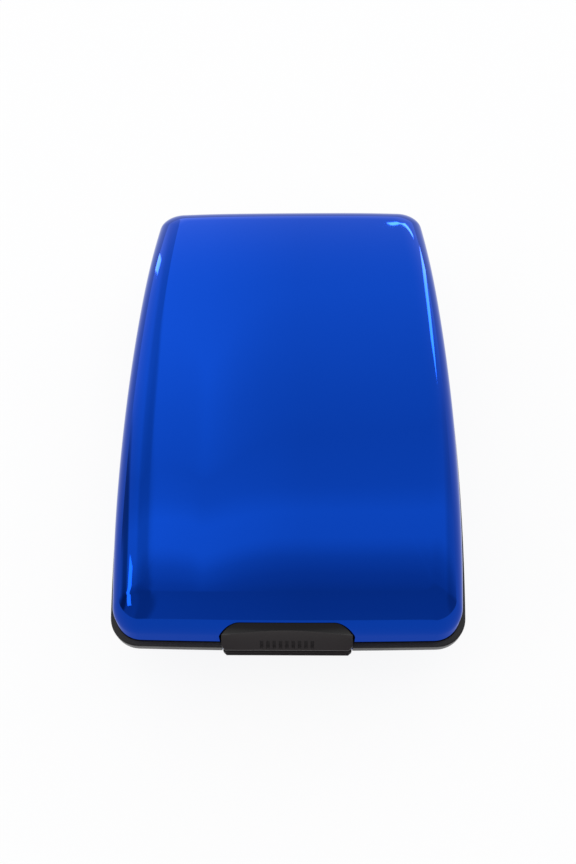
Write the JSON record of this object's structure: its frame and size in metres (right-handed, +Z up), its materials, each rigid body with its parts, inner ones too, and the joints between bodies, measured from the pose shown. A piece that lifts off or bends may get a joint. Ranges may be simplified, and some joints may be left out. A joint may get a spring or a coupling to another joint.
{
  "type": "aluminium card holder",
  "caption": "Slim two-sided pocket case: blue aluminium covers hinged on a black frame, each with a sprung latch, for cards in a fan of leaves and folded notes.",
  "frame": {"origin": "middle of the flat panel of the card cover, which the case rests on", "axes": "+Y from the latch end to the hinge end, +Z up through the cash lid, +X across the case"},
  "size_m": [0.071, 0.1094, 0.025],
  "materials": {
    "blue_anodised_aluminium": "polished, bright anodised blue",
    "black_abs": "satin moulded ABS",
    "spring_steel": "bright spring steel",
    "smoke_polypropylene": "smoke-grey polypropylene film"
  },
  "bodies": {
    "frame": {"mid_frame": "black_abs", "hinge_pin": "spring_steel", "clip_base": "spring_steel", "clip_pin": "spring_steel", "clip_spring": "spring_steel", "clip_rivet_left": "spring_steel", "clip_rivet_right": "spring_steel", "card_leaf_1": "smoke_polypropylene", "gusset_left": "smoke_polypropylene", "gusset_right": "smoke_polypropylene", "gusset_rear": "smoke_polypropylene"},
    "cash_lid": {"cash_cover": "blue_anodised_aluminium", "cash_liner": "black_abs", "cash_latch_pin": "spring_steel", "cash_latch_spring": "spring_steel"},
    "card_lid": {"card_cover": "blue_anodised_aluminium", "card_liner": "black_abs", "card_latch_pin": "spring_steel", "card_latch_spring": "spring_steel"},
    "cash_latch": {"cash_latch": "black_abs"},
    "card_latch": {"card_latch": "black_abs"},
    "note_clip": {"clip_arm": "spring_steel"},
    "leaf_2": {"card_leaf_2": "smoke_polypropylene"},
    "leaf_3": {"card_leaf_3": "smoke_polypropylene"},
    "leaf_4": {"card_leaf_4": "smoke_polypropylene"},
    "leaf_5": {"card_leaf_5": "smoke_polypropylene"},
    "leaf_6": {"card_leaf_6": "smoke_polypropylene"}
  },
  "joints": [
    {"name": "cash_lid_hinge", "type": "hinge", "parent": "frame", "child": "cash_lid", "pos_m": [0, 0.0538, 0.0125], "axis": [-1, 0, 0], "range_deg": [0, 95]},
    {"name": "card_lid_hinge", "type": "hinge", "parent": "frame", "child": "card_lid", "pos_m": [0, 0.0538, 0.0125], "axis": [1, 0, 0], "range_deg": [0, 35], "deforming": ["gusset_left", "gusset_right", "gusset_rear"]},
    {"name": "cash_latch_pivot", "type": "hinge", "parent": "cash_lid", "child": "cash_latch", "pos_m": [0, -0.0501, 0.01736], "axis": [-1, 0, 0], "range_deg": [0, 12], "stiffness_Nm_per_rad": 0.02, "springref_deg": -5.73},
    {"name": "card_latch_pivot", "type": "hinge", "parent": "card_lid", "child": "card_latch", "pos_m": [0, -0.0501, 0.00764], "axis": [1, 0, 0], "range_deg": [0, 12], "stiffness_Nm_per_rad": 0.02, "springref_deg": -5.73},
    {"name": "note_clip_hinge", "type": "hinge", "parent": "frame", "child": "note_clip", "pos_m": [0, 0.028, 0.01525], "axis": [-1, 0, 0], "range_deg": [0, 6], "stiffness_Nm_per_rad": 0.2, "springref_deg": -17.19},
    {"name": "leaf_2_fold", "type": "hinge", "parent": "frame", "child": "leaf_2", "pos_m": [0, 0.0538, 0.0125], "axis": [1, 0, 0], "range_deg": [0, 7]},
    {"name": "leaf_3_fold", "type": "hinge", "parent": "leaf_2", "child": "leaf_3", "pos_m": [0, 0.0538, 0.0125], "axis": [1, 0, 0], "range_deg": [0, 7]},
    {"name": "leaf_4_fold", "type": "hinge", "parent": "leaf_3", "child": "leaf_4", "pos_m": [0, 0.0538, 0.0125], "axis": [1, 0, 0], "range_deg": [0, 7]},
    {"name": "leaf_5_fold", "type": "hinge", "parent": "leaf_4", "child": "leaf_5", "pos_m": [0, 0.0538, 0.0125], "axis": [1, 0, 0], "range_deg": [0, 7]},
    {"name": "leaf_6_fold", "type": "hinge", "parent": "leaf_5", "child": "leaf_6", "pos_m": [0, 0.0538, 0.0125], "axis": [1, 0, 0], "range_deg": [0, 7]}
  ],
  "couplings": [
    {"joint": "leaf_2_fold", "follows": "card_lid_hinge", "ratio": 0.2},
    {"joint": "leaf_3_fold", "follows": "card_lid_hinge", "ratio": 0.2},
    {"joint": "leaf_4_fold", "follows": "card_lid_hinge", "ratio": 0.2},
    {"joint": "leaf_5_fold", "follows": "card_lid_hinge", "ratio": 0.2},
    {"joint": "leaf_6_fold", "follows": "card_lid_hinge", "ratio": 0.2}
  ]
}
